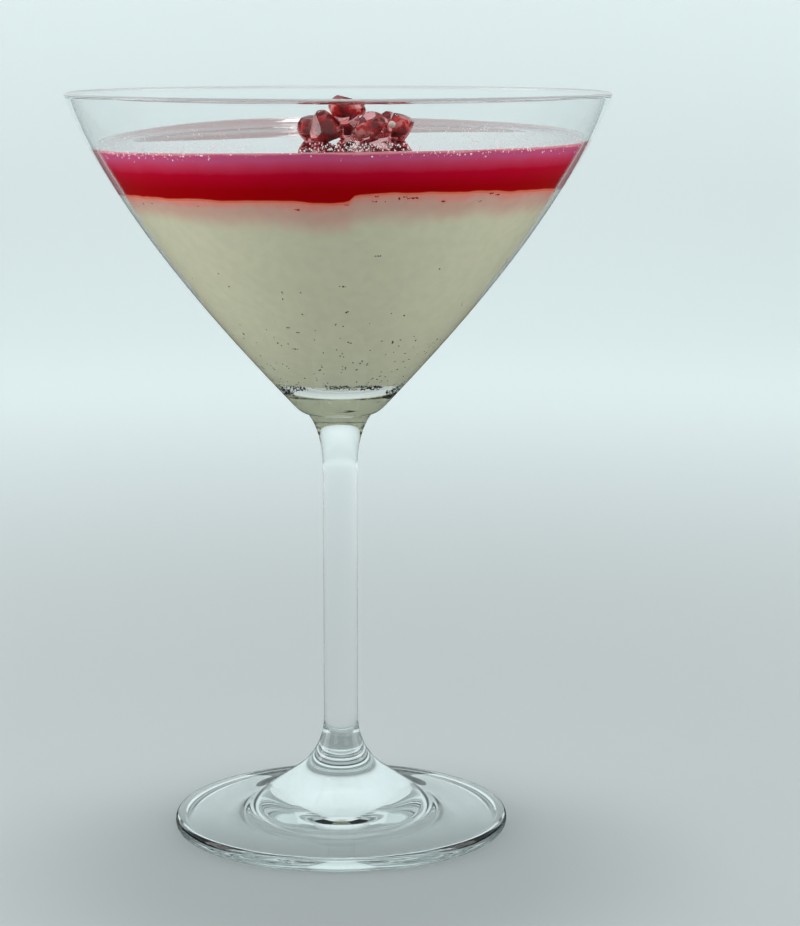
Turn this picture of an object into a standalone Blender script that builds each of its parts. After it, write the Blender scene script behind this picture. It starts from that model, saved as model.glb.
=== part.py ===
"""Panna cotta under red fruit jelly, set in a stemmed cocktail glass and topped with pomegranate arils.

The glass is one turned piece: conical bowl, solid stem and round foot. The panna cotta fills the
lower bowl, the jelly lies on it and leans a little, and a small pile of arils sits on the jelly.
Units are metres, +Z is up, and the origin is the middle of the foot on the table.
"""

import math

import bmesh
import bpy
import numpy as np
from mathutils import Euler, Matrix, Vector

# Driving dimensions of the glass
HEIGHT = 0.170
RIM_RADIUS = 0.0614
LIP_RADIUS = 0.0006
FOOT_RADIUS = 0.0387
FOOT_EDGE = 0.0035
STEM_RADIUS = 0.00395

# Bowl: the outside is a smooth curve from the base of the bowl to the lip, steeper towards the lip
BOWL_BASE_RADIUS = 0.0104
BOWL_BASE_HEIGHT = 0.0989
BOWL_CORNER_RADIUS = 0.0503
BOWL_CORNER_HEIGHT = 0.1410
WALL = 0.0015
FULL_WALL_HEIGHT = 0.150
THIN_WALL = 0.0010
THIN_WALL_HEIGHT = 0.126
BASE_TUCK = 0.0015
BASE_RISE = 0.0003

# Floor of the bowl: flat at its middle, then a long curve up into the wall, over thick glass
FLOOR_HEIGHT = 0.1057
FLOOR_RADIUS = 0.001
FLOOR_JOIN_HEIGHT = 0.122

# Stem: flared where it meets the bowl, and into the foot
COLLAR_RADIUS = 0.0073
COLLAR_HEIGHT = 0.0970
COLLAR_LENGTH = 0.013
NECK_BEND = 0.35
FLARE_RADIUS = 0.015
FLARE_SLOPE = math.radians(33.7)
FLARE_TOP = 0.0256

# Foot: a shallow cone, hollowed underneath so that it rests on a ring
SHOULDER_RADIUS = 0.0204
SHOULDER_HEIGHT = 0.0066
SHOULDER_INWARD = 0.0035
SHOULDER_OUTWARD = 0.0045
RING_OUTER = 0.0375
RING_INNER = 0.0362
HOLLOW_HEIGHT = 0.0036
HOLLOW_SQUARENESS = 0.8

# Contents: levels at the middle of the bowl, and how far each surface leans
CLEARANCE = 0.0003
SIDE_CLEARANCE = 0.00045
CREAM_LEVEL = 0.1491
CREAM_LEAN_X = math.radians(0.9)
CREAM_LEAN_Y = math.radians(0.3)
CREAM_RIPPLE = 0.00018
JELLY_LEVEL = 0.1586
JELLY_LEAN_X = math.radians(0.85)
JELLY_LEAN_Y = math.radians(1.6)

# The panna cotta's edge steps up near the front: how high, where around the bowl, and how it fades
STEP_HEIGHT = 0.0009
STEP_TURN = math.radians(4)
STEP_SHARPNESS = math.radians(1.5)
STEP_REACH_LEFT = math.radians(14)
STEP_REACH_RIGHT = math.radians(42)

# The jelly climbs at the wall, a little more at the front and the back than at the sides, and most at
# the back left
MENISCUS_HEIGHT = 0.0012
MENISCUS_SWING = 0.0004
MENISCUS_WIDTH = 0.0019
FRONT_CLIMB = 0.0006
FRONT_CLIMB_TURN = math.radians(-5)
FRONT_CLIMB_SHARPNESS = 4
BACK_CLIMB = 0.0009
BACK_CLIMB_TURN = math.radians(-150)
BACK_CLIMB_SHARPNESS = 8

# Arils: length and width of a full one, how its tip narrows, and how far it is pressed flat on the jelly
ARIL_LENGTH = 0.0102
ARIL_WIDTH = 0.0083
ARIL_TIP = 0.30
ARIL_SINK = 0.0007

# Flat sides that its neighbours pressed into an aril: how many, how deep, and how they are spread round it
ARIL_CUTS = 9
ARIL_CUT_DEPTH = 0.72
CUT_TURN = math.pi * (3 - math.sqrt(5))
CUT_WAVE = 1.7
CUT_RISE = 0.75
NEXT_TURN = 0.9
NEXT_WAVE = 0.8

# Resolution of the curves, and of the faceted solids
OUTSIDE_STEPS = 14
FINE_SHARE = 7
FLOOR_STEPS = 6
TURN_STEPS = 40
RINGS = (0.0, 0.25, 0.55, 0.8)
MENISCUS_RINGS = (0.6, 1.5, 3, 7, 14, 21)
ARIL_SUBDIVISIONS = 3

# Each aril: where it lies, how far it is lifted off the jelly, its turn in degrees, and its size
ARILS = {
    "aril_left": ((-0.0036, 0.0012), 0.0, (12, -8, 130), 1.03),
    "aril_back_left": ((-0.0056, 0.0099), 0.0, (0, 6, 14), 0.84),
    "aril_middle": ((0.0027, 0.0124), 0.0, (10, 0, 24), 0.85),
    "aril_front": ((0.0072, -0.0004), 0.0, (-8, -14, -14), 1.00),
    "aril_right": ((0.0135, 0.0050), 0.0, (4, -14, 64), 0.88),
    "aril_back_right": ((0.0107, 0.0114), 0.0, (0, 4, -30), 0.85),
    "aril_top": ((0.0017, 0.0066), 0.0035, (4, 6, 12), 0.86),
}

COLLECTION = "panna_cotta_in_glass"


def clear_scene():
    for thing in list(bpy.data.objects):
        bpy.data.objects.remove(thing, do_unlink=True)


def material(name, colour, roughness, metallic=0.0, transmission=0.0, ior=1.45, subsurface=0.0):
    """A Principled material of one colour."""
    made = bpy.data.materials.new(name)
    made.use_nodes = True
    shader = made.node_tree.nodes["Principled BSDF"]
    shader.inputs["Base Color"].default_value = (*colour, 1.0)
    shader.inputs["Roughness"].default_value = roughness
    shader.inputs["Metallic"].default_value = metallic
    shader.inputs["IOR"].default_value = ior
    shader.inputs["Transmission Weight"].default_value = transmission
    shader.inputs["Subsurface Weight"].default_value = subsurface
    made.diffuse_color = (*colour, 1.0)
    return made


def round_arc(centre, radii, first, last, steps):
    """Points of an elliptical arc about centre, from angle first to angle last in degrees."""
    turns = np.radians(np.linspace(first, last, steps + 1))
    return [(centre[0] + radii[0] * math.cos(a), centre[1] + radii[1] * math.sin(a)) for a in turns]


def bend(start, corner, end, steps):
    """Points of the smooth curve from start to end that leaves and arrives along the lines to corner."""
    places = []
    for t in np.linspace(0, 1, steps + 1):
        weights = ((1 - t) ** 2, 2 * t * (1 - t), t * t)
        places.append(
            tuple(sum(w * p[k] for w, p in zip(weights, (start, corner, end))) for k in (0, 1))
        )
    return places


def wall_thickness(height):
    """The wall has its full thickness from the lip down to the jelly, and thins out below that."""
    share = (height - THIN_WALL_HEIGHT) / (FULL_WALL_HEIGHT - THIN_WALL_HEIGHT)
    share = min(1.0, max(0.0, share))
    return THIN_WALL + (WALL - THIN_WALL) * share * share * (3 - 2 * share)


def bowl_outside(steps):
    """The outer side of the bowl, base to lip."""
    base = (BOWL_BASE_RADIUS, BOWL_BASE_HEIGHT)
    lip = (RIM_RADIUS, HEIGHT - LIP_RADIUS)
    return bend(base, (BOWL_CORNER_RADIUS, BOWL_CORNER_HEIGHT), lip, steps)


def bowl_inside():
    """The inner side of the bowl's wall, base to lip, in fine steps: the outer side less the wall."""
    outside = np.array(bowl_outside(OUTSIDE_STEPS * FINE_SHARE))
    tangents = np.gradient(outside, axis=0)
    tangents /= np.linalg.norm(tangents, axis=1)[:, None]
    inward = np.stack((-tangents[:, 1], tangents[:, 0]), axis=1)
    thickness = np.array([wall_thickness(height) for height in outside[:, 1]])
    return outside + inward * thickness[:, None]


INSIDE = bowl_inside()


def floor_bend(steps):
    """The curve of the floor from its flat middle to the wall."""
    radii, heights = INSIDE[:, 0], INSIDE[:, 1]
    radius = np.interp(FLOOR_JOIN_HEIGHT, heights, radii)
    slope = np.interp(FLOOR_JOIN_HEIGHT, heights, np.gradient(radii, heights))
    corner = radius - slope * (FLOOR_JOIN_HEIGHT - FLOOR_HEIGHT)
    return bend(
        (FLOOR_RADIUS, FLOOR_HEIGHT), (corner, FLOOR_HEIGHT), (radius, FLOOR_JOIN_HEIGHT), steps
    )


LINING = np.array(
    floor_bend(FLOOR_STEPS * FINE_SHARE)[:-1] + [p for p in INSIDE if p[1] > FLOOR_JOIN_HEIGHT]
)


def wall_radius(height):
    """Inner radius of the bowl at a height."""
    return float(np.interp(height, LINING[:, 1], LINING[:, 0]))


def floor_curve(lift):
    """The floor of the bowl from its axis to the wall, raised by lift."""
    return [(0.0, FLOOR_HEIGHT + lift)] + [(r - lift * 0.5, z + lift) for r, z in floor_bend(FLOOR_STEPS)]


def glass_profile():
    """Half section of the glass: bowl floor, up inside, over the lip, down outside, under the foot."""
    floor = floor_curve(0.0)
    inside = [tuple(p) for p in INSIDE[::FINE_SHARE] if p[1] > FLOOR_JOIN_HEIGHT + CLEARANCE]
    outside = bowl_outside(OUTSIDE_STEPS)[::-1]
    lip_middle = ((inside[-1][0] + outside[0][0]) / 2, HEIGHT - LIP_RADIUS)
    lip_half = (outside[0][0] - inside[-1][0]) / 2
    lip = round_arc(lip_middle, (lip_half, LIP_RADIUS), 180, 0, 4)
    collar = (COLLAR_RADIUS, COLLAR_HEIGHT)
    base = bend(outside[-1], (BOWL_BASE_RADIUS - BASE_TUCK, COLLAR_HEIGHT + BASE_RISE), collar, 4)
    stem_top = (STEM_RADIUS, COLLAR_HEIGHT - COLLAR_LENGTH)
    neck = bend(collar, (STEM_RADIUS, COLLAR_HEIGHT - NECK_BEND * COLLAR_LENGTH), stem_top, 5)
    flare_centre = (STEM_RADIUS + FLARE_RADIUS, FLARE_TOP)
    flare_end = 180 + 90 - math.degrees(FLARE_SLOPE)
    flare = round_arc(flare_centre, (FLARE_RADIUS, FLARE_RADIUS), 180, flare_end, 5)
    edge_middle = (RING_OUTER, FOOT_EDGE / 2)
    edge_top = (RING_OUTER, FOOT_EDGE)
    shoulder = (SHOULDER_RADIUS, SHOULDER_HEIGHT)
    rise = SHOULDER_INWARD * math.tan(FLARE_SLOPE)
    fall = SHOULDER_OUTWARD * (SHOULDER_HEIGHT - FOOT_EDGE) / (RING_OUTER - SHOULDER_RADIUS)
    before = (SHOULDER_RADIUS - SHOULDER_INWARD, SHOULDER_HEIGHT + rise)
    after = (SHOULDER_RADIUS + SHOULDER_OUTWARD, SHOULDER_HEIGHT - fall)
    brim = bend(before, shoulder, after, 4)
    edge = round_arc(edge_middle, (FOOT_RADIUS - RING_OUTER, FOOT_EDGE / 2), 90, -90, 6)
    ring = [(RING_INNER, 0.0)]
    hollow_corner = (RING_INNER * HOLLOW_SQUARENESS, HOLLOW_HEIGHT * HOLLOW_SQUARENESS)
    hollow = bend(ring[0], hollow_corner, (0.0, HOLLOW_HEIGHT), 4)
    return (
        floor + inside[:-1] + lip + outside[1:] + base[1:] + neck[1:] + flare + brim
        + edge + ring + hollow[1:]
    )


def new_object(name, mesh, look, collection):
    made = bpy.data.objects.new(name, mesh)
    mesh.materials.clear()
    mesh.materials.append(look)
    collection.objects.link(made)
    return made


def turned(name, profile, look, collection):
    """A turned solid: the profile runs from the axis back to the axis, and a Screw modifier turns it."""
    mesh = bpy.data.meshes.new(name)
    places = [(r, 0.0, z) for r, z in profile]
    mesh.from_pydata(places, [(i, i + 1) for i in range(len(places) - 1)], [])
    made = new_object(name, mesh, look, collection)
    screw = made.modifiers.new("turn", "SCREW")
    screw.axis = "Z"
    screw.steps = TURN_STEPS
    screw.render_steps = TURN_STEPS
    screw.use_merge_vertices = True
    screw.merge_threshold = 0.00001
    screw.use_smooth_shade = True
    return made


def baked(made):
    """The same object with its modifiers applied, so that its points can be moved."""
    seen = made.evaluated_get(bpy.context.evaluated_depsgraph_get())
    mesh = bpy.data.meshes.new_from_object(seen)
    made.modifiers.clear()
    made.data = mesh
    return made


def edge_step(around):
    """The step in the panna cotta's edge: a dip on its left, a rise on its right, both fading out."""
    past = around - STEP_TURN
    reach = STEP_REACH_LEFT if past < 0 else STEP_REACH_RIGHT
    return STEP_HEIGHT * past / (abs(past) + STEP_SHARPNESS) * math.exp(-((past / reach) ** 2))


def cream_surface(x, y):
    """Height of the top of the panna cotta: it leans, with a low ripple and a step towards its edge."""
    lean = x * math.tan(CREAM_LEAN_X) + y * math.tan(CREAM_LEAN_Y)
    around = math.atan2(x, -y)
    out = min(1.0, math.hypot(x, y) / wall_radius(CREAM_LEVEL)) ** 2
    ripple = CREAM_RIPPLE * (math.sin(3 * around + 0.6) + 0.6 * math.sin(5 * around - 1.1))
    return CREAM_LEVEL + lean + out * (ripple + edge_step(around))


def jelly_surface(x, y):
    """Height of the level part of the top of the jelly, which leans to the front and to the left."""
    return JELLY_LEVEL + x * math.tan(JELLY_LEAN_X) + y * math.tan(JELLY_LEAN_Y)


def meniscus(x, y, wall):
    """How far the jelly climbs near the wall, which differs round the bowl."""
    inward = wall - math.hypot(x, y)
    around = math.atan2(x, -y)
    front = ((1 + math.cos(around - FRONT_CLIMB_TURN)) / 2) ** FRONT_CLIMB_SHARPNESS
    back = ((1 + math.cos(around - BACK_CLIMB_TURN)) / 2) ** BACK_CLIMB_SHARPNESS
    climb = MENISCUS_HEIGHT + MENISCUS_SWING * math.cos(2 * around) + FRONT_CLIMB * front + BACK_CLIMB * back
    return climb * math.exp(-max(0.0, inward) / MENISCUS_WIDTH)


def settle(made, low_level, high_level, low_surface, high_surface):
    """Moves the points of a body turned between two levels so that it fills up to its real surfaces.

    A point keeps its share of the height and of the way from the axis to the wall.
    """
    for vertex in made.data.vertices:
        x, y, z = vertex.co
        level_wall = wall_radius(z) - SIDE_CLEARANCE
        share = (z - low_level) / (high_level - low_level)
        out = math.hypot(x, y) / level_wall
        for _ in range(4):
            low, high = low_surface(x, y), high_surface(x, y)
            vertex.co.z = low + share * (high - low)
            wall = wall_radius(vertex.co.z) - SIDE_CLEARANCE
            scale = out * wall / max(1e-9, math.hypot(x, y))
            x, y = x * scale, y * scale
        vertex.co.x, vertex.co.y = x, y
    return made


def wall_run(low, high, steps):
    """Points up the wall of the bowl between two heights, clear of it."""
    return [(wall_radius(z) - SIDE_CLEARANCE, z) for z in np.linspace(low, high, steps + 1)]


def make_glass(look, collection):
    return turned("glass", glass_profile(), look, collection)


def make_cream(look, collection):
    """The panna cotta, from the floor of the bowl up to its leaning top."""
    floor = floor_curve(CLEARANCE)
    split = floor[-1][1] + CLEARANCE * 3
    wall = wall_run(split, CREAM_LEVEL, 6)
    top = [(wall[-1][0] * share, CREAM_LEVEL) for share in reversed(RINGS)]
    profile = (floor + wall + top)[::-1]
    made = baked(turned("panna_cotta", profile, look, collection))

    def level(x, y):
        return split

    lower = [v for v in made.data.vertices if v.co.z < split + 1e-6]
    kept = {v.index: v.co.copy() for v in lower}
    settle(made, split, CREAM_LEVEL, level, cream_surface)
    for index, place in kept.items():
        made.data.vertices[index].co = place
    return made


def make_jelly(look, collection):
    """The jelly, from just above the panna cotta to its glossy top, which climbs a little at the wall."""
    low = CREAM_LEVEL + CLEARANCE
    high = JELLY_LEVEL
    wall = wall_run(low, high, 4)
    edge = wall[-1][0]
    top = [(edge - MENISCUS_WIDTH * width, high) for width in MENISCUS_RINGS]
    bottom = [(wall[0][0] * share, low) for share in RINGS]
    profile = (bottom + wall + top + [(0.0, high)])[::-1]
    made = baked(turned("jelly", profile, look, collection))

    def bottom_surface(x, y):
        return cream_surface(x, y) + CLEARANCE

    def top_surface(x, y):
        wall_here = wall_radius(jelly_surface(x, y)) - SIDE_CLEARANCE
        return jelly_surface(x, y) + meniscus(x, y, wall_here)

    return settle(made, low, high, bottom_surface, top_surface)


def flat_sides(number):
    """Directions of the flat sides that its neighbours pressed into an aril, unlike for each aril."""
    sides = []
    for k in range(ARIL_CUTS):
        turn = CUT_TURN * k + NEXT_TURN * number
        rise = CUT_RISE * math.sin(CUT_WAVE * k + NEXT_WAVE * number)
        across = math.sqrt(1 - rise * rise)
        sides.append(Vector((rise, across * math.cos(turn), across * math.sin(turn))))
    return sides


def aril_mesh(name, number, size):
    """An aril: a drop along its X axis with a blunt tip and flat sides."""
    mesh = bpy.data.meshes.new(name)
    shape = bmesh.new()
    bmesh.ops.create_icosphere(shape, subdivisions=ARIL_SUBDIVISIONS, radius=1.0)
    sides = flat_sides(number)
    for vertex in shape.verts:
        direction = vertex.co.normalized()
        reach = 1.0
        for side in sides:
            reach = min(reach, ARIL_CUT_DEPTH / max(ARIL_CUT_DEPTH, direction.dot(side)))
        place = direction * reach
        taper = 1.0 - ARIL_TIP * max(0.0, place.x) ** 2
        vertex.co = Vector((
            place.x * ARIL_LENGTH / 2,
            place.y * ARIL_WIDTH / 2 * taper,
            place.z * ARIL_WIDTH / 2 * taper,
        )) * size
    shape.to_mesh(mesh)
    shape.free()
    return mesh


def flatten_underside(aril):
    """Presses what of an aril would reach into the jelly flat, just clear of the jelly's top."""
    matrix = Matrix.Translation(aril.location) @ aril.rotation_euler.to_matrix().to_4x4()
    back = matrix.inverted()
    for vertex in aril.data.vertices:
        place = matrix @ vertex.co
        place.z = max(place.z, jelly_surface(place.x, place.y) + CLEARANCE)
        vertex.co = back @ place


def make_arils(look, collection):
    """The pile of arils, each clear of the jelly and of the others."""
    made = []
    for number, (name, (place, lift, turn, size)) in enumerate(ARILS.items()):
        aril = new_object(name, aril_mesh(name, number, size), look, collection)
        turned_by = Euler([math.radians(a) for a in turn])
        points = [turned_by.to_matrix() @ v.co for v in aril.data.vertices]
        lowest = min(p.z - jelly_surface(place[0] + p.x, place[1] + p.y) for p in points)
        sink = 0.0 if lift else ARIL_SINK
        aril.location = (*place, CLEARANCE + lift - sink - lowest)
        aril.rotation_euler = turned_by
        flatten_underside(aril)
        made.append(aril)
    return made


def main():
    clear_scene()
    collection = bpy.data.collections.new(COLLECTION)
    bpy.context.scene.collection.children.link(collection)
    clear_glass = material("clear_glass", (0.96, 0.98, 0.98), 0.02, transmission=1.0, ior=1.52)
    cream = material("set_cream", (0.70, 0.66, 0.53), 0.35, subsurface=0.6)
    red_jelly = material("red_jelly", (0.36, 0.004, 0.022), 0.06, subsurface=0.4)
    aril_flesh = material("aril_flesh", (0.45, 0.01, 0.02), 0.12, subsurface=0.4)
    make_glass(clear_glass, collection)
    smooth = [make_cream(cream, collection), make_jelly(red_jelly, collection)]
    smooth += make_arils(aril_flesh, collection)
    for made in smooth:
        made.data.shade_smooth()
        made.data.set_sharp_from_angle(angle=math.radians(35))


main()
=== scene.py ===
"""Panna cotta with pomegranate in a cocktail glass: the looks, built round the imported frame.

The glass is turned again as a fine, clear piece. The set cream and the fruit jelly fill it up to their
own leaning levels and reach just into its wall. Arils, vanilla specks and sugar are laid on them.
Everything is in metres, in the frame's own coordinates: +Z is up, and the origin is the foot's middle.
"""

import math

import bmesh
import bpy
import numpy as np
from mathutils import Euler, Matrix, Vector, noise


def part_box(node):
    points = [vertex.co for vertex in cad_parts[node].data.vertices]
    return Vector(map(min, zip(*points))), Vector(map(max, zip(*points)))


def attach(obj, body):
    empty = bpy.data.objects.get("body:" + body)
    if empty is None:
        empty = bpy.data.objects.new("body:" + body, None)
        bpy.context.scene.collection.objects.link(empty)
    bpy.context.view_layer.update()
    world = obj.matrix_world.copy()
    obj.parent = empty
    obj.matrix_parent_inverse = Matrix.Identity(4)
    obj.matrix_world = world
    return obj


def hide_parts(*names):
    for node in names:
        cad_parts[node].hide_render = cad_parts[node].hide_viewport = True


bl_info = {
    "name": "Panna Cotta in a Cocktail Glass",
    "version": (1, 0, 0),
    "blender": (4, 5, 0),
    "location": "View3D > Sidebar > Dessert",
    "description": "Builds a cocktail glass with set cream, fruit jelly, arils, vanilla and sugar",
    "category": "Object",
}

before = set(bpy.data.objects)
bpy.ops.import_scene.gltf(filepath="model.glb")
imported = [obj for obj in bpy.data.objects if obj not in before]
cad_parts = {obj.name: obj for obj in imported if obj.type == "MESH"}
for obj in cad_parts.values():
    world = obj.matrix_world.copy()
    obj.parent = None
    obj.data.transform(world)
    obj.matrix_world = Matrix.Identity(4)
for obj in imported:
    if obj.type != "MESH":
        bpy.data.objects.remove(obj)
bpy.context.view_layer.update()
BODY = "root"

GLASS_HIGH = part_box("glass")[1]
HEIGHT = GLASS_HIGH.z
RIM_RADIUS = GLASS_HIGH.x
ARIL_NODES = sorted(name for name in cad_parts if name.startswith("aril_"))

# Turned outline of the glass
LIP_RADIUS = 0.0006
# How far down the lip its pale painted highlight reaches, as a share of the lip's radius
LIP_HIGHLIGHT = 0.8
FOOT_RADIUS = 0.0387
FOOT_EDGE = 0.0035
STEM_RADIUS = 0.00395
BOWL_BASE = (0.0104, 0.0989)
BOWL_CORNER = (0.0503, 0.1410)
WALL = 0.0015
FULL_WALL_HEIGHT = 0.150
THIN_WALL = 0.0010
THIN_WALL_HEIGHT = 0.126
FLOOR_HEIGHT = 0.1057
FLOOR_RADIUS = 0.001
FLOOR_JOIN_HEIGHT = 0.122
FLOOR_STEPS = 42
BASE_TUCK = 0.0015
BASE_RISE = 0.0003
COLLAR = (0.0073, 0.0970)
COLLAR_LENGTH = 0.013
NECK_BEND = 0.35
FLARE_RADIUS = 0.015
FLARE_SLOPE = math.radians(33.7)
FLARE_TOP = 0.0256
SHOULDER = (0.0204, 0.0066)
SHOULDER_INWARD = 0.0035
SHOULDER_OUTWARD = 0.0045
RING_OUTER = 0.0375
RING_INNER = 0.0362
HOLLOW_HEIGHT = 0.0036
HOLLOW_SQUARENESS = 0.8

# Levels of the contents
REACH = 0.00006
CONTENT_TURNS = 288
SIDE_SLOPE = 0.3
CREAM_LEVEL = 0.1491
CREAM_LEAN = (math.radians(0.9), math.radians(0.3))
CREAM_RIPPLE = 0.00018
STEP_HEIGHT = 0.0009
STEP_TURN = math.radians(4)
STEP_SHARPNESS = math.radians(0.35)
STEP_REACH_LEFT = math.radians(14)
STEP_REACH_RIGHT = math.radians(42)
WIDE_BUMPS = (0.0075, 0.00034)
FINE_BUMPS = (0.0026, 0.00015)
JELLY_LEVEL = 0.1586
JELLY_LEAN = (math.radians(0.85), math.radians(1.6))
MENISCUS_HEIGHT = 0.0012
MENISCUS_SWING = 0.0004
MENISCUS_WIDTH = 0.0019
FRONT_CLIMB = 0.0006
FRONT_CLIMB_TURN = math.radians(-5)
FRONT_CLIMB_SHARPNESS = 4
BACK_CLIMB = 0.0009
BACK_CLIMB_TURN = math.radians(-150)
BACK_CLIMB_SHARPNESS = 8

# The inside of the glass mirrors beside the contents: the index of what touches it over its own, by
# height, and the Fresnel shares at which the mirror starts, is full and has taken its tint
CREAM_RATIOS = ((0.117, 0.895), (0.1185, 0.70), (0.122, 0.675), (0.128, 0.66))
JELLY_RATIOS = ((0.140, 0.66), (0.165, 0.66))
MIRROR_START = 0.45
MIRROR_FULL = 0.9
MIRROR_TINTED = 0.97

# Colours of the contents at the wall: how far the haze of painted light goes down, the thin line at the
# jelly's lower edge, how deep the jelly stains the cream, and where it thins out up the wall into pale
# painted backlight
HAZE_LIGHT_SCALE = 0.0121
BORDER_GLOW = 0.0006
BORDER_FULL = 0.6
STAIN_DEPTH = 0.006
STAIN_SWING = 0.6
STAIN_TURN = math.radians(10)
STAIN_SHARPNESS = 4
CLIMB_START = 0.0001
CLIMB_BACKLIT = 0.0007

# Arils: turn in degrees and size of each, as in the frame, then how strong its juice is, how large
# its core is, and how much of its pale patches, partly seed and partly painted highlight, shows there
ARIL_LENGTH = 0.0102
ARIL_WIDTH = 0.0083
ARIL_TIP = 0.30
ARIL_SOFTNESS = 0.005
ARIL_CUTS = 9
ARIL_CUT_DEPTH = 0.72
CUT_TURN = math.pi * (3 - math.sqrt(5))
CUT_WAVE = 1.7
CUT_RISE = 0.75
NEXT_TURN = 0.9
NEXT_WAVE = 0.8
ARIL_ORDER = {
    "aril_left": ((12, -8, 130), 1.03, 3.0, 1.0, 0.0),
    "aril_back_left": ((0, 6, 14), 0.84, 2.0, 1.0, 0.4),
    "aril_middle": ((10, 0, 24), 0.85, 2.0, 1.0, 0.2),
    "aril_front": ((-8, -14, -14), 1.00, 0.7, 0.84, 0.7),
    "aril_right": ((4, -14, 64), 0.88, 2.0, 1.05, 0.35),
    "aril_back_right": ((0, 4, -30), 0.85, 2.0, 1.0, 0.3),
    "aril_top": ((4, 6, 12), 0.86, 1.4, 1.1, 1.1),
}

# Core of an aril, in shares of the aril's length and width, then where its pale patches, partly seed
# and partly painted highlight, start to show, the pale tip that three of the arils have, and how far
# that sinks in
CORE_LENGTH = 0.34
CORE_WIDTH = 0.23
CORE_TAPER = 0.3
CORE_LUMPS = 0.16
CORE_RIBS = (5, 0.05)
CORE_SHIFT = 0.03
SEED_AND_HIGHLIGHT_START = 0.46
SEED_AND_HIGHLIGHT_GAIN = 0.16
SEED_AND_HIGHLIGHT_FADE = 0.32
TIP_ARILS = ("aril_front", "aril_middle", "aril_back_right")
TIP_SIZE = (0.00085, 0.00095, 0.0008)
TIP_SINK = 0.0001

# Specks at the wall: how far their middles lie inside the contents. Vanilla: its lowest height, the
# reach above it and how much it crowds low down, then the rows of specks that look like short strands
INSET = 0.00002
LOW_VANILLA = (0.1072, 0.0105, 1.2)
HIGH_VANILLA = (0.1175, 0.020, 2)
HIGH_VANILLA_SHARE = 0.25
STRAND_SPECKS = 2.6
STRAND_STEPS = (0.00025, 0.0005)
STRAND_RADIUS = 0.02
SPECK_LEAST = 0.00014

# Vanilla that settled round the floor of the bowl: lowest height, depth, and least and largest radius
SEDIMENT_HEIGHT = 0.1064
SEDIMENT_DEPTH = 0.0007
SEDIMENT_SIZES = (0.00010, 0.00026)

# Sugar: how dense each patch on the jelly is, its middle and its reach to the sides and to the back,
# then the dense ring at the wall, and where grains stick along the wall, in degrees with their spread
SUGAR_PATCHES = (
    (0.55, 0.004, -0.012, 0.011, 0.016),
    (0.35, -0.036, -0.016, 0.014, 0.022),
    (0.30, 0.036, -0.006, 0.012, 0.030),
)
SUGAR_RING = 0.35
SUGAR_RING_WIDTH = 0.004
SUGAR_RING_SHARES = (0.7, 0.15)
SUGAR_ELSEWHERE = 0.015
GRAIN_LEAST = 0.00005
GRAIN_RISE = 0.25
EDGE_LEFT = (-52, 18)
EDGE_RIGHT = (40, 20)
EDGE_LEFT_SHARE = 0.62
EDGE_SPREAD = 0.0007

# Flecks: where half of them gather, in degrees with their spread, how far under the cream's edge they
# lie, the turn from one to the next of a row, how uneven the row is, and their least and largest radius
FLECK_TURN = (28, 14)
FLECK_DROP = (0.0001, 0.001)
FLECK_STEP = 0.006
FLECK_UNEVENNESS = 0.0001
FLECK_SIZES = (0.00012, 0.00028)

# Stage: how the floor sweeps up, where its soft glow starts and is full, from the origin, and which
# directions of the surroundings are dim, by their depth plus so much of their height
FLOOR_FRONT = -3.0
FLOOR_HALF_WIDTH = 2.6
SWEEP_START = 0.9
SWEEP_RADIUS = 0.5
SWEEP_TOP = 2.2
GLOW_START = 0.12
GLOW_FULL = 1.42
LEVEL_FLOOR = 0.001
FRONT_DIM = -0.6
FRONT_BRIGHT = 0.0
FRONT_RISE = 1.6

# Lamps: place, height of the point of the axis that each faces, width and height, and power
SOFT_BOXES = {
    "left_box": ((-0.80, -0.05, 0.30), 0.11, (0.5, 0.6), 4.2),
    "right_box": ((0.80, -0.05, 0.30), 0.11, (0.5, 0.6), 3.35),
    "front_left_box": ((-0.55, -0.95, 0.35), 0.11, (0.4, 0.4), 1.7),
    "front_right_box": ((0.55, -0.95, 0.35), 0.11, (0.5, 0.5), 1.4),
    "top_box": ((0.0, 0.2, 1.1), 0.1, (0.3, 0.3), 2.8),
}


# ---------------------------------------------------------------- outlines


def arc(centre, radii, first, last, steps):
    """Points of an elliptical arc about centre, from angle first to angle last in degrees."""
    turns = np.radians(np.linspace(first, last, steps + 1))
    return [(centre[0] + radii[0] * math.cos(a), centre[1] + radii[1] * math.sin(a)) for a in turns]


def bend(start, corner, end, steps):
    """Points of the smooth curve from start to end that leaves and arrives by way of corner."""
    places = []
    for t in np.linspace(0, 1, steps + 1):
        weights = ((1 - t) ** 2, 2 * t * (1 - t), t * t)
        places.append(
            tuple(sum(w * p[k] for w, p in zip(weights, (start, corner, end))) for k in (0, 1))
        )
    return places


def wall_thickness(height):
    """The wall has its full thickness from the lip down to the jelly, and thins out below that."""
    share = (height - THIN_WALL_HEIGHT) / (FULL_WALL_HEIGHT - THIN_WALL_HEIGHT)
    share = min(1.0, max(0.0, share))
    return THIN_WALL + (WALL - THIN_WALL) * share * share * (3 - 2 * share)


def bowl_outside():
    """The outer side of the bowl, base to lip."""
    return bend(BOWL_BASE, BOWL_CORNER, (RIM_RADIUS, HEIGHT - LIP_RADIUS), 98)


def bowl_inside():
    """The inner side of the bowl's wall, base to lip: the outer side less the wall."""
    outside = np.array(bowl_outside())
    tangents = np.gradient(outside, axis=0)
    tangents /= np.linalg.norm(tangents, axis=1)[:, None]
    inward = np.stack((-tangents[:, 1], tangents[:, 0]), axis=1)
    thickness = np.array([wall_thickness(height) for height in outside[:, 1]])
    return outside + inward * thickness[:, None]


INSIDE = bowl_inside()


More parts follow.
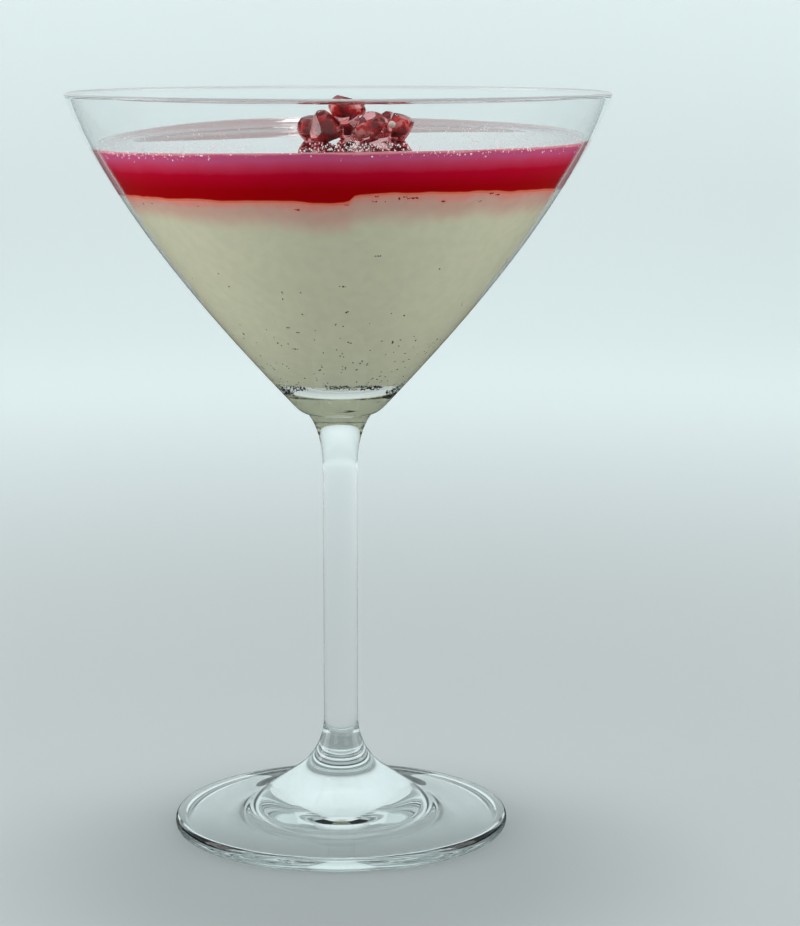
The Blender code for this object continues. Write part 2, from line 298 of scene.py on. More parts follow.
def floor_bend(steps):
    """The curve of the bowl's floor from its flat middle to the wall."""
    radii, heights = INSIDE[:, 0], INSIDE[:, 1]
    radius = np.interp(FLOOR_JOIN_HEIGHT, heights, radii)
    slope = np.interp(FLOOR_JOIN_HEIGHT, heights, np.gradient(radii, heights))
    corner = radius - slope * (FLOOR_JOIN_HEIGHT - FLOOR_HEIGHT)
    return bend(
        (FLOOR_RADIUS, FLOOR_HEIGHT), (corner, FLOOR_HEIGHT), (radius, FLOOR_JOIN_HEIGHT), steps
    )


WALL_LINE = [tuple(p) for p in INSIDE if p[1] > FLOOR_JOIN_HEIGHT]
LINING = np.array(floor_bend(FLOOR_STEPS)[:-1] + WALL_LINE)


def wall_radius(height):
    """Inner radius of the bowl at a height."""
    return float(np.interp(height, LINING[:, 1], LINING[:, 0]))


def glass_outline():
    """Half section of the glass: the bowl's floor, inside, lip and outside, the stem and the foot."""
    inside = WALL_LINE
    outside = bowl_outside()[::-1]
    lip_middle = ((inside[-1][0] + outside[0][0]) / 2, HEIGHT - LIP_RADIUS)
    lip_half = (outside[0][0] - inside[-1][0]) / 2
    lip = arc(lip_middle, (lip_half, LIP_RADIUS), 180, 0, 14)
    base = bend(outside[-1], (BOWL_BASE[0] - BASE_TUCK, COLLAR[1] + BASE_RISE), COLLAR, 14)
    stem_top = (STEM_RADIUS, COLLAR[1] - COLLAR_LENGTH)
    neck = bend(COLLAR, (STEM_RADIUS, COLLAR[1] - NECK_BEND * COLLAR_LENGTH), stem_top, 22)
    stem = [(STEM_RADIUS, h) for h in np.linspace(stem_top[1], FLARE_TOP, 12)[1:-1]]
    flare_end = 180 + 90 - math.degrees(FLARE_SLOPE)
    flare_middle = (STEM_RADIUS + FLARE_RADIUS, FLARE_TOP)
    flare = arc(flare_middle, (FLARE_RADIUS, FLARE_RADIUS), 180, flare_end, 26)
    rise = SHOULDER_INWARD * math.tan(FLARE_SLOPE)
    fall = SHOULDER_OUTWARD * (SHOULDER[1] - FOOT_EDGE) / (RING_OUTER - SHOULDER[0])
    before = (SHOULDER[0] - SHOULDER_INWARD, SHOULDER[1] + rise)
    after = (SHOULDER[0] + SHOULDER_OUTWARD, SHOULDER[1] - fall)
    brim = bend(before, SHOULDER, after, 18)
    edge_middle = (RING_OUTER, FOOT_EDGE / 2)
    slab = [tuple(p) for p in np.linspace(after, (RING_OUTER, FOOT_EDGE), 8)[1:-1]]
    edge = arc(edge_middle, (FOOT_RADIUS - RING_OUTER, FOOT_EDGE / 2), 90, -90, 22)
    ring = [(RING_INNER, 0.0)]
    hollow_corner = (RING_INNER * HOLLOW_SQUARENESS, HOLLOW_HEIGHT * HOLLOW_SQUARENESS)
    hollow = bend(ring[0], hollow_corner, (0.0, HOLLOW_HEIGHT), 26)
    floor = [(0.0, FLOOR_HEIGHT)] + floor_bend(FLOOR_STEPS)[:-1]
    return (
        floor + inside[:-1] + lip + outside[1:] + base[1:] + neck[1:] + stem + flare + brim
        + slab + edge + ring + hollow[1:]
    )


# ---------------------------------------------------------------- meshes


def turned(name, outline, turns):
    """A closed turned piece: its outline starts on the axis, at the top side, and ends on it below."""
    shape = bmesh.new()
    ways = [(math.cos(a), math.sin(a)) for a in np.linspace(0, math.tau, turns, endpoint=False)]
    rings = [[shape.verts.new((r * x, r * y, z)) for x, y in ways] for r, z in outline[1:-1]]
    top, bottom = (shape.verts.new((0.0, 0.0, z)) for _, z in (outline[0], outline[-1]))
    for here in range(turns):
        after = (here + 1) % turns
        shape.faces.new((top, rings[0][here], rings[0][after]))
        for ring, below in zip(rings, rings[1:]):
            shape.faces.new((ring[here], below[here], below[after], ring[after]))
        shape.faces.new((rings[-1][here], bottom, rings[-1][after]))
    return placed(name, shape)


def placed(name, shape):
    """Puts a bmesh in the scene as an object of that name."""
    mesh = bpy.data.meshes.new(name)
    shape.to_mesh(mesh)
    shape.free()
    made = bpy.data.objects.new(name, mesh)
    bpy.context.scene.collection.objects.link(made)
    return made


def smooth(made, angle):
    """Shades a piece smooth, but for the edges that turn by more than the angle in degrees."""
    made.data.shade_smooth()
    made.data.set_sharp_from_angle(angle=math.radians(angle))


def ball(subdivisions):
    """A new bmesh with a ball of radius 1."""
    shape = bmesh.new()
    bmesh.ops.create_icosphere(shape, subdivisions=subdivisions, radius=1.0)
    return shape


def piece(made, slot, *nodes):
    """Every piece rides on the one body and may stand for CAD nodes, which it hides. Its slot is not
    used.
    """
    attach(made, BODY)
    if nodes:
        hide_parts(*nodes)


# ---------------------------------------------------------------- levels


def edge_step(around):
    """The step in the edge of the set cream: a dip on its left and a rise on its right."""
    past = around - STEP_TURN
    reach = STEP_REACH_LEFT if past < 0 else STEP_REACH_RIGHT
    return STEP_HEIGHT * past / (abs(past) + STEP_SHARPNESS) * math.exp(-((past / reach) ** 2))


def edge_bumps(x, y):
    """Small bumps along the edge of the set cream, up to about half a millimetre."""
    wide = noise.noise(Vector((x, y, 0.31)) / WIDE_BUMPS[0])
    fine = noise.noise(Vector((x, y, 0.77)) / FINE_BUMPS[0])
    return WIDE_BUMPS[1] * wide + FINE_BUMPS[1] * fine


def cream_surface(x, y):
    """Height of the top of the set cream."""
    lean = x * math.tan(CREAM_LEAN[0]) + y * math.tan(CREAM_LEAN[1])
    around = math.atan2(x, -y)
    out = min(1.0, math.hypot(x, y) / wall_radius(CREAM_LEVEL)) ** 2
    ripple = CREAM_RIPPLE * (math.sin(3 * around + 0.6) + 0.6 * math.sin(5 * around - 1.1))
    return CREAM_LEVEL + lean + out * (ripple + edge_step(around) + edge_bumps(x, y))


def nearness(around, turn, sharpness):
    """How near a direction is to a turn: 1 there, and 0 on the far side."""
    return ((1 + math.cos(around - turn)) / 2) ** sharpness


def jelly_surface(x, y):
    """Height of the level part of the top of the jelly."""
    return JELLY_LEVEL + x * math.tan(JELLY_LEAN[0]) + y * math.tan(JELLY_LEAN[1])


def jelly_top(x, y):
    """Height of the top of the jelly, with the meniscus that climbs the wall."""
    inward = max(0.0, wall_radius(jelly_surface(x, y)) + REACH - math.hypot(x, y))
    around = math.atan2(x, -y)
    front = nearness(around, FRONT_CLIMB_TURN, FRONT_CLIMB_SHARPNESS)
    back = nearness(around, BACK_CLIMB_TURN, BACK_CLIMB_SHARPNESS)
    climb = MENISCUS_HEIGHT + MENISCUS_SWING * math.cos(2 * around)
    climb = climb + FRONT_CLIMB * front + BACK_CLIMB * back
    return jelly_surface(x, y) + climb * math.exp(-inward / MENISCUS_WIDTH)


def at_wall_of(x, y, level):
    """The place at the wall of the bowl in the direction of x, y, at a level."""
    scale = wall_radius(level) / max(1e-9, math.hypot(x, y))
    return x * scale, y * scale


def mark(made, name, measure):
    """Stores a value worked out from each point's place, for the piece's material to read."""
    layer = made.data.attributes.new(name, "FLOAT", "POINT")
    for vertex, value in zip(made.data.vertices, layer.data):
        value.value = measure(*vertex.co)


def below_jelly_edge(x, y, z):
    """How far a point lies below the edge of the jelly at the wall."""
    return jelly_top(*at_wall_of(x, y, JELLY_LEVEL)) - z


def above_level(x, y, z):
    """How far a point lies above the level part of the top of the jelly."""
    return z - jelly_surface(x, y)


def above_cream_edge(x, y, z):
    """How far a point lies above the edge of the set cream at the wall."""
    return z - cream_surface(*at_wall_of(x, y, CREAM_LEVEL))


def stained(x, y, z):
    """How deep a point lies under the cream's edge, as a share of how deep the stain goes there."""
    front = nearness(math.atan2(x, -y), STAIN_TURN, STAIN_SHARPNESS)
    return -above_cream_edge(x, y, z) / (STAIN_DEPTH * (1 + STAIN_SWING * front))


def settle(made, low_level, high_level, low_surface, high_surface):
    """Moves the points of a body turned between two levels so that it fills up to its real surfaces.

    A point keeps its share of the height and of the way from the axis to the wall.
    """
    for vertex in made.data.vertices:
        x, y, z = vertex.co
        share = (z - low_level) / (high_level - low_level)
        out = math.hypot(x, y) / (wall_radius(z) + REACH)
        for _ in range(4):
            low, high = low_surface(x, y), high_surface(x, y)
            vertex.co.z = low + share * (high - low)
            scale = out * (wall_radius(vertex.co.z) + REACH) / max(1e-9, math.hypot(x, y))
            x, y = x * scale, y * scale
        vertex.co.x, vertex.co.y = x, y


# ---------------------------------------------------------------- materials


class Tree:
    """The node tree of a material or of the world, with short ways to add and join nodes."""

    def __init__(self, owner):
        owner.use_nodes = True
        self.nodes = owner.node_tree.nodes
        self.links = owner.node_tree.links

    def node(self, kind, **settings):
        made = self.nodes.new(kind)
        for name, value in settings.items():
            setattr(made, name, value)
        return made

    def join(self, source, target):
        self.links.new(source, target)

    def fill(self, sockets, *values):
        """Fills sockets in turn, each from another node's output, or with a number or a colour."""
        for socket, value in zip(sockets, values):
            if isinstance(value, bpy.types.NodeSocket):
                self.join(value, socket)
            elif socket.type == "RGBA":
                socket.default_value = (*value, 1.0)
            else:
                socket.default_value = value

    def math(self, operation, *values):
        made = self.node("ShaderNodeMath", operation=operation)
        self.fill(made.inputs, *values)
        return made.outputs[0]

    def range(self, value, low, high, to_low=0.0, to_high=1.0):
        made = self.node("ShaderNodeMapRange")
        self.fill(made.inputs, value, low, high, to_low, to_high)
        return made.outputs[0]

    def mix(self, share, first, second, blend="MIX"):
        made = self.node("ShaderNodeMix", data_type="RGBA", blend_type=blend)
        self.fill([made.inputs[k] for k in (0, 6, 7)], share, first, second)
        return made.outputs[2]


class Look(Tree):
    """A material being put together."""

    def __init__(self, name):
        self.material = bpy.data.materials.new(name)
        super().__init__(self.material)
        self.shader = self.nodes["Principled BSDF"]
        self.output = self.nodes["Material Output"]

    def set(self, **values):
        """Sets sockets of the Principled shader, such as roughness=0.2 or subsurface_weight=1."""
        for name, value in values.items():
            title = name.replace("_", " ").title().replace("Ior", "IOR")
            self.shader.inputs[title].default_value = value
        return self

    def place(self):
        """The object's own coordinates, in metres."""
        return self.node("ShaderNodeTexCoord").outputs["Object"]

    def marked(self, name):
        """A value that mark stored on the piece's points."""
        return self.node("ShaderNodeAttribute", attribute_name=name).outputs["Fac"]

    def ramp(self, value, stops, kind="LINEAR"):
        made = self.node("ShaderNodeValToRGB")
        made.color_ramp.interpolation = kind
        points = made.color_ramp.elements
        while len(points) < len(stops):
            points.new(0.5)
        for point, (place, colour) in zip(points, stops):
            point.position = place
            point.color = (*colour, 1.0)
        self.join(value, made.inputs["Fac"])
        return made.outputs["Color"]

    def speckle(self, scale, detail=2.0, offset=(0.0, 0.0, 0.0)):
        """Even noise from 0 to 1 at that many cells per metre."""
        shift = self.node("ShaderNodeVectorMath", operation="ADD")
        shift.inputs[1].default_value = offset
        self.join(self.place(), shift.inputs[0])
        made = self.node("ShaderNodeTexNoise")
        made.inputs["Scale"].default_value = scale
        made.inputs["Detail"].default_value = detail
        self.join(shift.outputs[0], made.inputs["Vector"])
        return made.outputs["Fac"]

    def grey(self, value):
        """A grey of that brightness."""
        made = self.node("ShaderNodeCombineColor")
        self.fill(made.inputs, value, value, value)
        return made.outputs[0]

    def height(self):
        """How high a point lies."""
        parts = self.node("ShaderNodeSeparateXYZ")
        self.join(self.place(), parts.inputs[0])
        return parts.outputs["Z"]

    def blend(self, share, first, second):
        """A shader that goes from the first to the second by a share."""
        made = self.node("ShaderNodeMixShader")
        self.fill(made.inputs, share, first, second)
        return made.outputs[0]

    def show(self, shader):
        self.join(shader, self.output.inputs["Surface"])
        return self

    def absorb(self, colour, density):
        """Tints what is seen through the piece, the more the thicker it is."""
        made = self.node("ShaderNodeVolumeAbsorption")
        self.fill((made.inputs["Color"], made.inputs["Density"]), colour, density)
        self.join(made.outputs[0], self.output.inputs["Volume"])
        return self

    def colour(self, socket):
        self.join(socket, self.shader.inputs["Base Color"])
        return self

    def bump(self, height, strength, distance):
        made = self.node("ShaderNodeBump")
        made.inputs["Strength"].default_value = strength
        made.inputs["Distance"].default_value = distance
        self.join(height, made.inputs["Height"])
        self.join(made.outputs["Normal"], self.shader.inputs["Normal"])
        return self

    def let_lamps_through(self, middle, edge):
        """Rays to a lamp pass the piece, tinted more where it is seen edge on.

        That way what lies behind it is lit.
        """
        facing = self.node("ShaderNodeLayerWeight")
        facing.inputs["Blend"].default_value = 0.35
        tint = self.ramp(facing.outputs["Facing"], ((0.0, middle), (1.0, edge)))
        clear = self.node("ShaderNodeBsdfTransparent")
        self.join(tint, clear.inputs["Color"])
        path = self.node("ShaderNodeLightPath")
        shown = self.shader.outputs[0]
        for kind in ("Is Diffuse Ray", "Is Shadow Ray"):
            shown = self.blend(path.outputs[kind], shown, clear.outputs[0])
        return self.show(shown)

    def against_glass(self, ratios, tint):
        """Where the piece lies against glass, its surface mirrors as the inside of the glass does.

        A ratio is the index of what touches the glass over the glass's own. The ratios are pairs of a
        height and the ratio there. Past its bright first line the mirror takes a tint.
        """
        low, high = ratios[0][0], ratios[-1][0]
        stops = [((height - low) / (high - low), (ratio,) * 3) for height, ratio in ratios]
        ratio = self.ramp(self.range(self.height(), low, high), stops)
        fresnel = self.node("ShaderNodeFresnel")
        self.join(ratio, fresnel.inputs["IOR"])
        share = self.range(fresnel.outputs[0], MIRROR_START, MIRROR_FULL)
        mirror = self.node("ShaderNodeBsdfGlossy")
        mirror.inputs["Roughness"].default_value = 0.0
        tinted = self.ramp(fresnel.outputs[0], ((MIRROR_FULL, (1.0, 1.0, 1.0)), (MIRROR_TINTED, tint)))
        self.join(tinted, mirror.inputs["Color"])
        return self.show(self.blend(share, self.shader.outputs[0], mirror.outputs[0]))


def clear_glass(settings):
    """Clear glass, a little green where it is thick."""
    look = Look("clear_glass")
    look.set(
        base_color=(*settings.tint, 1.0), roughness=0.0, ior=1.52, transmission_weight=1.0,
        specular_tint=(0.35, 0.35, 0.35, 1.0),
    )
    look.absorb(settings.body, settings.density)
    return look.let_lamps_through((0.97, 0.98, 0.975), (0.62, 0.66, 0.66)).material


def lip_highlight_look(settings):
    """The top of the lip, a little matt and pale, so that it shows as a pale line: a painted highlight.
    """
    look = Look("lip")
    look.set(base_color=(*settings.lip, 1.0), roughness=0.3, ior=1.52, transmission_weight=0.45)
    look.bump(look.speckle(3000.0), 0.1, 0.00005)
    return look.let_lamps_through((0.9, 0.9, 0.9), (0.7, 0.7, 0.7)).material


def jelly_look(settings, name, at_glass):
    """Red jelly: its open top is deep red. At the glass a bright line and a pink haze of painted light
    fade into it from the top, and lower down it darkens to painted shade.
    """
    look = Look(name)
    if at_glass:
        cloud = look.math("MULTIPLY_ADD", look.speckle(160.0), 0.0010, -0.0005)
        share = look.range(look.math("ADD", look.marked("fall"), cloud), 0.0, HAZE_LIGHT_SCALE)
        # Painted light and shade: a bright line and pink haze just under the top edge, darkening
        # towards the bottom
        body = look.ramp(share, (
            (0.0, settings.rim_light), (0.02, settings.rim_light), (0.045, settings.haze_light), (0.13, settings.haze_light),
            (0.21, settings.lower_haze_light), (0.38, settings.body), (0.65, settings.deep_shade),
        ))
        border = look.range(look.marked("rise"), BORDER_GLOW, BORDER_GLOW * BORDER_FULL)
        look.colour(look.mix(border, body, settings.border))
    else:
        # Where the jelly climbs the wall it turns pale: painted backlight through the thin jelly
        climb = look.range(look.marked("lift"), CLIMB_START, CLIMB_BACKLIT)
        look.colour(look.mix(climb, settings.top, settings.backlit_thin))
    return look.set(
        roughness=0.035, ior=1.36, subsurface_weight=0.2, subsurface_radius=(0.0012, 0.0003, 0.0004),
        subsurface_scale=1.0, coat_weight=0.0 if at_glass else 0.9, coat_roughness=0.02,
    )


def cream_look(settings, name):
    """Set cream, stained by the jelly just under it, with a faint mottle."""
    look = Look(name)
    cloud = look.math("MULTIPLY_ADD", look.speckle(90.0), 0.3, -0.15)
    stain = look.ramp(look.math("ADD", look.marked("stain"), cloud), (
        (0.0, settings.stain), (0.22, settings.stain_low), (0.8, settings.body),
    ), "EASE")
    mottle = look.range(look.speckle(420.0, 3.0), 0.35, 0.65, 0.97, 1.02)
    look.colour(look.mix(1.0, stain, look.grey(mottle), "MULTIPLY"))
    return look.set(
        roughness=0.4, ior=1.36, subsurface_weight=0.5, subsurface_radius=(0.0012, 0.0010, 0.0008),
        subsurface_scale=1.0,
    )


def aril_look(settings, name, strength):
    """Clear flesh whose juice tints what is seen through it."""
    look = Look(name)
    look.set(base_color=(*settings.skin, 1.0), roughness=0.02, ior=1.40, transmission_weight=1.0)
    look.absorb(settings.juice, settings.depth * strength)
    return look.let_lamps_through((0.95, 0.80, 0.80), (0.75, 0.45, 0.45)).material


def core_look(settings, name, paleness):
    """The core of an aril: deep red, with paler patches that are partly the seed showing and partly
    painted highlights.
    """
    look = Look(name)
    start = SEED_AND_HIGHLIGHT_START - SEED_AND_HIGHLIGHT_GAIN * paleness
    # Pale patches: partly the seed showing, partly painted highlight
    patches = look.range(look.speckle(330.0, 2.0, (0.0, 0.0, 0.013)), start, start + SEED_AND_HIGHLIGHT_FADE)
    colours = ((0.0, settings.core_deep), (0.5, settings.core), (0.82, settings.seed))
    look.colour(look.ramp(patches, colours, "EASE"))
    look.bump(look.speckle(1400.0), 0.3, 0.0002)
    return look.set(
        roughness=0.5, specular_ior_level=0.05,
        subsurface_weight=0.3, subsurface_radius=(0.001, 0.0003, 0.0003),
    ).material


def plain_look(name, colour, **values):
    """A look of one colour with a little unevenness in it."""
    look = Look(name)
    share = look.range(look.speckle(1500.0), 0.3, 0.7, 0.86, 1.06)
    look.colour(look.mix(1.0, colour, look.grey(share), "MULTIPLY"))
    return look.set(**values).material


# ---------------------------------------------------------------- settings


def length(name, text, value):
    return bpy.props.FloatProperty(
        name=name, description=text, default=value, min=0.0, unit="LENGTH", precision=5
    )


def amount(name, text, value):
    return bpy.props.FloatProperty(name=name, description=text, default=value, min=0.0)


def count(name, text, value, low=0):
    return bpy.props.IntProperty(name=name, description=text, default=value, min=low)


def tint(name, text, value):
    return bpy.props.FloatVectorProperty(
        name=name, description=text, default=value, size=3, min=0.0, max=1.0, subtype="COLOR"
    )


class GlassSettings(bpy.types.PropertyGroup):
    tint: tint("Tint", "Colour of the clear glass", (0.995, 1.0, 0.998))
    body: tint("Body", "Colour that thick glass tends to", (0.35, 0.58, 0.55))
    # The lip's pale colour is a painted highlight on the rim
    lip: tint("Lip", "Colour of the ground edge", (0.96, 0.98, 0.98))
    density: amount("Density", "How fast thick glass darkens", 3.5)
    turns: count("Turns", "Facets round the glass", 144, 24)


class CreamSettings(bpy.types.PropertyGroup):
    body: tint("Body", "Colour of the set cream", (0.72, 0.685, 0.50))
    stain_low: tint("Fading stain", "Colour where the jelly's stain fades", (0.70, 0.42, 0.34))
    stain: tint("Stain", "Colour of the cream right under the jelly", (0.86, 0.31, 0.26))


class JellySettings(bpy.types.PropertyGroup):
    top: tint("Top", "Colour of the open top of the jelly", (0.26, 0.003, 0.028))
    # Pale painted backlight where the jelly thins out up the wall
    backlit_thin: tint("Thin edge", "Colour where the jelly thins out up the wall", (0.80, 0.66, 0.67))
    # At the glass: a bright painted line at the top edge and a pink haze of painted light under it
    rim_light: tint("Rim", "Colour of the thin line at the jelly's top edge", (0.95, 0.36, 0.40))
    haze_light: tint("Haze", "Colour just under the top edge", (0.65, 0.100, 0.235))
    lower_haze_light: tint("Lower haze", "Colour a little below the top edge", (0.66, 0.055, 0.13))
    body: tint("Body", "Colour of the jelly", (0.56, 0.002, 0.025))
    # Painted shade: the jelly at the glass darkens towards the bottom
    deep_shade: tint("Deep", "Colour at the bottom of the jelly", (0.41, 0.0004, 0.003))
    border: tint("Border", "Colour of the thin line where it meets the cream", (0.95, 0.20, 0.11))


class ArilSettings(bpy.types.PropertyGroup):
    skin: tint("Skin", "Tint of an aril's skin", (0.99, 0.97, 0.97))
    juice: tint("Juice", "Colour of an aril's juice", (0.88, 0.10, 0.13))
    depth: amount("Depth", "How dark the juice is", 150.0)
    core_deep: tint("Deep core", "Darkest colour of an aril's core", (0.24, 0.002, 0.006))
    core: tint("Core", "Colour of an aril's core", (0.66, 0.010, 0.022))
    # Pale colour of the core: partly the seed, partly painted highlight
    seed: tint("Seed", "Colour of the core where the seed shows", (0.95, 0.58, 0.52))
    nub: tint("Nub", "Colour of the pale tip of an aril", (0.86, 0.82, 0.68))


class SprinkleSettings(bpy.types.PropertyGroup):
    vanilla: count("Vanilla", "Vanilla specks in the cream", 420)
    sediment: count("Sediment", "Specks at the floor of the bowl", 700)
    speck: length("Speck", "Radius of the largest vanilla speck", 0.00024)
    sugar: count("Sugar", "Sugar grains on the jelly", 1700)
    grain: length("Grain", "Radius of the largest sugar grain on the jelly", 0.00021)
    edge_sugar: count("Edge sugar", "Sugar grains along the wall", 420)
    edge_grain: length("Edge grain", "Radius of the largest sugar grain along the wall", 0.00022)
    flecks: count("Flecks", "Rows of jelly flecks on the cream", 34)


class StageSettings(bpy.types.PropertyGroup):
    camera: bpy.props.FloatVectorProperty(
        name="Camera", description="Place of the camera", default=(0.01376, -0.60246, 0.1849),
        size=3, subtype="TRANSLATION", unit="LENGTH",
    )
    tilt: bpy.props.FloatProperty(
        name="Tilt", description="How far the camera looks down", default=math.radians(9.374),
        subtype="ANGLE",
    )
    lens: amount("Lens", "Focal length in millimetres", 103.33)
    floor: tint("Floor", "Colour of the floor", (0.68, 0.73, 0.74))
    glow: tint("Glow", "Light of the far floor", (0.37, 0.43, 0.43))
    glow_far: tint("Far glow", "Light of the backdrop", (0.48, 0.555, 0.56))
    sky: tint("Surroundings", "Colour of what is seen all round", (0.74, 0.84, 0.85))
    front: tint("Front", "Colour of the dim room in front, where glass shows it", (0.03, 0.035, 0.035))


# ---------------------------------------------------------------- pieces


def two_looks(made, first, second, is_second):
    """Gives the faces for which is_second(centre, normal) holds the second look, the rest the first."""
    made.data.materials.append(first)
    made.data.materials.append(second)
    for face in made.data.polygons:
        face.material_index = 1 if is_second(face.center, face.normal) else 0


class DESSERT_OT_glass(bpy.types.Operator):
    """Turns the clear cocktail glass"""

    bl_idname = "dessert.glass"
    bl_label = "Glass"

    def execute(self, context):
        settings = context.scene.dessert_glass
        made = turned("cocktail_glass", glass_outline(), settings.turns)
        smooth(made, 30)
        # The top of the lip takes the pale look of a painted highlight
        highlight_from = HEIGHT - LIP_HIGHLIGHT * LIP_RADIUS
        two_looks(made, clear_glass(settings), lip_highlight_look(settings), lambda c, n: c.z > highlight_from)
        piece(made, "clear_glass", "glass")
        return {"FINISHED"}


class DESSERT_OT_cream(bpy.types.Operator):
    """Fills the lower bowl with set cream"""

    bl_idname = "dessert.cream"
    bl_label = "Set cream"

    def execute(self, context):
        settings = context.scene.dessert_cream
        split = FLOOR_JOIN_HEIGHT
        wall = [(wall_radius(z) + REACH, z) for z in np.linspace(split, CREAM_LEVEL, 60)]
        top = [(wall[-1][0] * share, CREAM_LEVEL) for share in np.linspace(0.98, 0.0, 26)]
        low = [(0.0, FLOOR_HEIGHT - REACH)]
        for radius, z in floor_bend(FLOOR_STEPS)[:-1]:
            low.append((radius + REACH * (z - FLOOR_HEIGHT) / (split - FLOOR_HEIGHT), z - REACH))
        made = turned("set_cream", (low + wall + top)[::-1], CONTENT_TURNS)
        kept = {v.index: v.co.copy() for v in made.data.vertices if v.co.z < split + 1e-6}
        settle(made, split, CREAM_LEVEL, lambda x, y: split, cream_surface)
        for index, place in kept.items():
            made.data.vertices[index].co = place
        mark(made, "stain", stained)
        smooth(made, 35)
        open_look = cream_look(settings, "set_cream").material
        wall_look = cream_look(settings, "set_cream_at_glass")
        wall_look.set(specular_ior_level=0.0)
        wall_look.against_glass(CREAM_RATIOS, (0.90, 0.88, 0.84))
        two_looks(made, open_look, wall_look.material, lambda c, n: n.z < SIDE_SLOPE)
        piece(made, "set_cream", "panna_cotta")
        return {"FINISHED"}


class DESSERT_OT_jelly(bpy.types.Operator):
    """Lays the fruit jelly on the cream"""

    bl_idname = "dessert.jelly"
    bl_label = "Fruit jelly"

    def execute(self, context):
        settings = context.scene.dessert_jelly
        low, high = CREAM_LEVEL, JELLY_LEVEL
        ease = (1 - np.cos(np.linspace(0, math.pi, 44))) / 2
        wall = [(wall_radius(z) + REACH, z) for z in low + (high - low) * ease]
        edge = wall[-1][0]
        inward = np.concatenate((np.linspace(0.0002, 0.006, 24), np.linspace(0.0075, edge, 24)))
        top = [(max(0.0, edge - width), high) for width in inward]
        bottom = [(wall[0][0] * share, low) for share in np.linspace(0.0, 0.98, 14)]
        made = turned("fruit_jelly", (bottom + wall + top)[::-1], CONTENT_TURNS)
        settle(made, low, high, cream_surface, jelly_top)
        mark(made, "fall", below_jelly_edge)
        mark(made, "lift", above_level)
        mark(made, "rise", above_cream_edge)
        smooth(made, 50)
        open_look = jelly_look(settings, "fruit_jelly", False).material
        wall_look = jelly_look(settings, "fruit_jelly_at_glass", True)
        wall_look.set(specular_ior_level=0.0)
        wall_look.against_glass(JELLY_RATIOS, (0.75, 0.42, 0.44))

        def at_wall(centre, normal):
            outward = normal.x * centre.x + normal.y * centre.y
            return outward / max(1e-9, math.hypot(centre.x, centre.y)) > SIDE_SLOPE

        two_looks(made, open_look, wall_look.material, at_wall)
        piece(made, "red_jelly", "jelly")
        return {"FINISHED"}


def flat_sides(number):
    """Directions of the flat sides that its neighbours pressed into an aril, unlike for each aril."""
    sides = []
    for k in range(ARIL_CUTS):
        turn = CUT_TURN * k + NEXT_TURN * number
        rise = CUT_RISE * math.sin(CUT_WAVE * k + NEXT_WAVE * number)
        across = math.sqrt(1 - rise * rise)
        sides.append(Vector((rise, across * math.cos(turn), across * math.sin(turn))))
    return sides


def aril_shape(number, size, subdivisions):
    """An aril as in the frame, finer: a drop along its X axis whose flat sides meet in soft ridges."""
    shape = ball(subdivisions)
    sides = flat_sides(number)
    for vertex in shape.verts:
        direction = vertex.co.normalized()
        pulls = [math.exp(-1.0 / ARIL_SOFTNESS)]
        for side in sides:
            limit = ARIL_CUT_DEPTH / max(ARIL_CUT_DEPTH * 0.5, direction.dot(side))
            pulls.append(math.exp(-limit / ARIL_SOFTNESS))
        place = direction * (-ARIL_SOFTNESS * math.log(sum(pulls)))
        taper = 1.0 - ARIL_TIP * max(0.0, place.x) ** 2
        vertex.co = Vector((
            place.x * ARIL_LENGTH / 2,
            place.y * ARIL_WIDTH / 2 * taper,
            place.z * ARIL_WIDTH / 2 * taper,
        )) * size
    return shape


def aril_place(name, number):
    """Matrix that lays an aril of the frame's size and turn where the frame has it."""
    turn, size = ARIL_ORDER[name][:2]
    turned_by = Euler([math.radians(a) for a in turn]).to_matrix()
    shape = aril_shape(number, size, 3)
    points = np.array([turned_by @ v.co for v in shape.verts])
    shape.free()
    low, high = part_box(name)
    place = (low + high) / 2 - Vector((points.min(0) + points.max(0)) / 2)
    place.z = high.z - points.max(0)[2]
    return Matrix.Translation(place) @ turned_by.to_4x4()


def aril_core(size, fullness):
    """The long core inside an aril: its seed with the red flesh round it."""
    shape = ball(4)
    for vertex in shape.verts:
        x, y, z = vertex.co
        lumps = CORE_LUMPS * noise.noise(Vector((x, y, z)) * 1.4)
        ribs = CORE_RIBS[1] * math.cos(CORE_RIBS[0] * math.atan2(z, y))
        across = ARIL_WIDTH * CORE_WIDTH * (1.0 - CORE_TAPER * x) * (1.0 + lumps + ribs)
        vertex.co = Vector((x * ARIL_LENGTH * CORE_LENGTH, y * across, z * across)) * size * fullness
        vertex.co.x -= ARIL_LENGTH * CORE_SHIFT
    return shape


def aril_nub(size):
    """The small pale tip that held the aril."""
    shape = ball(3)
    for vertex in shape.verts:
        lump = 1.0 + 0.12 * noise.noise(vertex.co * 2.3)
        vertex.co = vertex.co * Vector(TIP_SIZE) * lump * size
        vertex.co.x += ARIL_LENGTH / 2 * size - TIP_SINK
    return shape


def aril_part(name, shape, look, *nodes):
    """Puts one part of an aril in the scene, smooth and in its look."""
    made = placed(name, shape)
    made.data.shade_smooth()
    made.data.materials.append(look)
    piece(made, "aril_flesh", *nodes)


